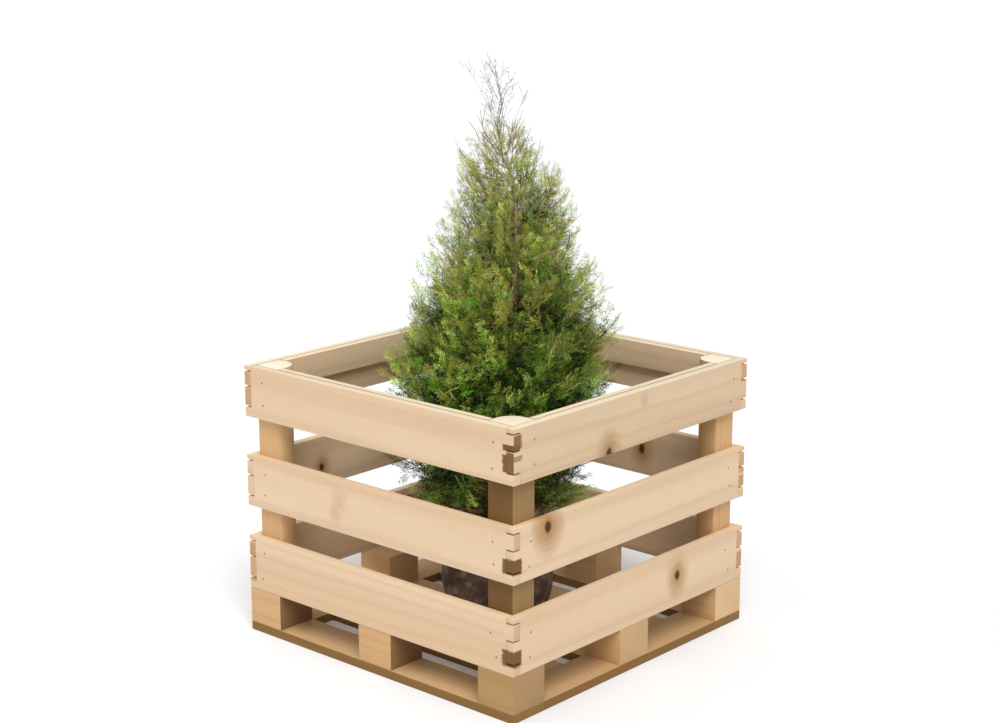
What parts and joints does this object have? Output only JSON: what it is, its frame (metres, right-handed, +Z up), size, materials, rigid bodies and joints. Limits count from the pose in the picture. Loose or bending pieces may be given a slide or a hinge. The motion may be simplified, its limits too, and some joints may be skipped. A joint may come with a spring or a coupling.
{
  "type": "potted thuja in a slatted pallet crate",
  "caption": "Young thuja with a pointed crown and a bare leader, on a cloth-wrapped root ball that stands in an open slatted pallet crate.",
  "frame": {"origin": "on the ground under the middle of the crate's footprint", "axes": "+Z up along the plant, X and Y along the crate's walls; the front wall faces -Y"},
  "size_m": [0.8, 0.8, 1.3153],
  "materials": {
    "pine": "sawn and planed pale pine",
    "sacking": "damp, earth-stained jute cloth",
    "bark": "thin fibrous bark",
    "foliage": "waxy scale leaves"
  },
  "bodies": {
    "root": {"base_back": "pine", "base_front": "pine", "base_left": "pine", "base_right": "pine", "block_back_left": "pine", "block_back_middle": "pine", "block_back_right": "pine", "block_front_left": "pine", "block_front_middle": "pine", "block_front_right": "pine", "block_left_middle": "pine", "block_right_middle": "pine", "bough_low_1": "bark", "bough_low_2": "bark", "bough_low_3": "bark", "bough_skirt_1": "bark", "bough_skirt_2": "bark", "bough_skirt_3": "bark", "floor_back": "pine", "floor_front": "pine", "floor_middle": "pine", "foliage_high_1": "foliage", "foliage_high_2": "foliage", "foliage_high_3": "foliage", "foliage_low_1": "foliage", "foliage_low_2": "foliage", "foliage_low_3": "foliage", "foliage_middle_1": "foliage", "foliage_middle_2": "foliage", "foliage_middle_3": "foliage", "foliage_skirt_1": "foliage", "foliage_skirt_2": "foliage", "foliage_skirt_3": "foliage", "foliage_spire_1": "foliage", "foliage_spire_2": "foliage", "foliage_upper_1": "foliage", "foliage_upper_2": "foliage", "lath_back": "pine", "lath_front": "pine", "lath_left": "pine", "lath_right": "pine", "leader_twigs": "bark", "post_back_left": "pine", "post_back_right": "pine", "post_front_left": "pine", "post_front_right": "pine", "root_ball": "sacking", "trunk": "bark", "wall_back_lower": "pine", "wall_back_middle": "pine", "wall_back_upper": "pine", "wall_front_lower": "pine", "wall_front_middle": "pine", "wall_front_upper": "pine", "wall_left_lower": "pine", "wall_left_middle": "pine", "wall_left_upper": "pine", "wall_right_lower": "pine", "wall_right_middle": "pine", "wall_right_upper": "pine"}
  },
  "joints": []
}
